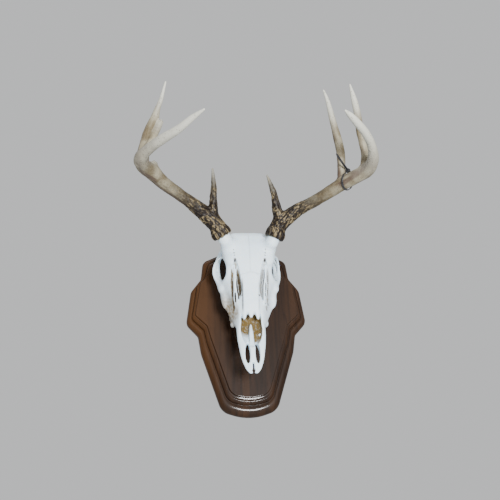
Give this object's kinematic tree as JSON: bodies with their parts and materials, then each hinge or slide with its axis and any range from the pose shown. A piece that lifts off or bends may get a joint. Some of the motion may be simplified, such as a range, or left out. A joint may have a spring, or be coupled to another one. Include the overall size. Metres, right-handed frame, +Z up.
{
  "type": "antler mounting plaque",
  "caption": "Wall plaque of moulded walnut carrying a bleached white-tailed deer skull with its antlers, face parallel to the board.",
  "frame": {"origin": "on the plaque's flat back, in its middle width, 58 mm below the crown, where it meets the wall", "axes": "+Y out of the back into the wall, so the skull looks along -Y; +Z up; +X to the right as seen from the front"},
  "size_m": [0.3653, 0.391, 0.4802],
  "materials": {
    "walnut": "satin varnish",
    "bleached_bone": "matte bleached bone",
    "antler": "dull antler, dark and pearled at the base, pale at the tips",
    "black_nylon": "moulded nylon"
  },
  "bodies": {
    "root": {"plaque": "walnut", "skull": "bleached_bone", "left_antler": "antler", "right_antler": "antler", "cable_tie": "black_nylon"}
  },
  "joints": []
}
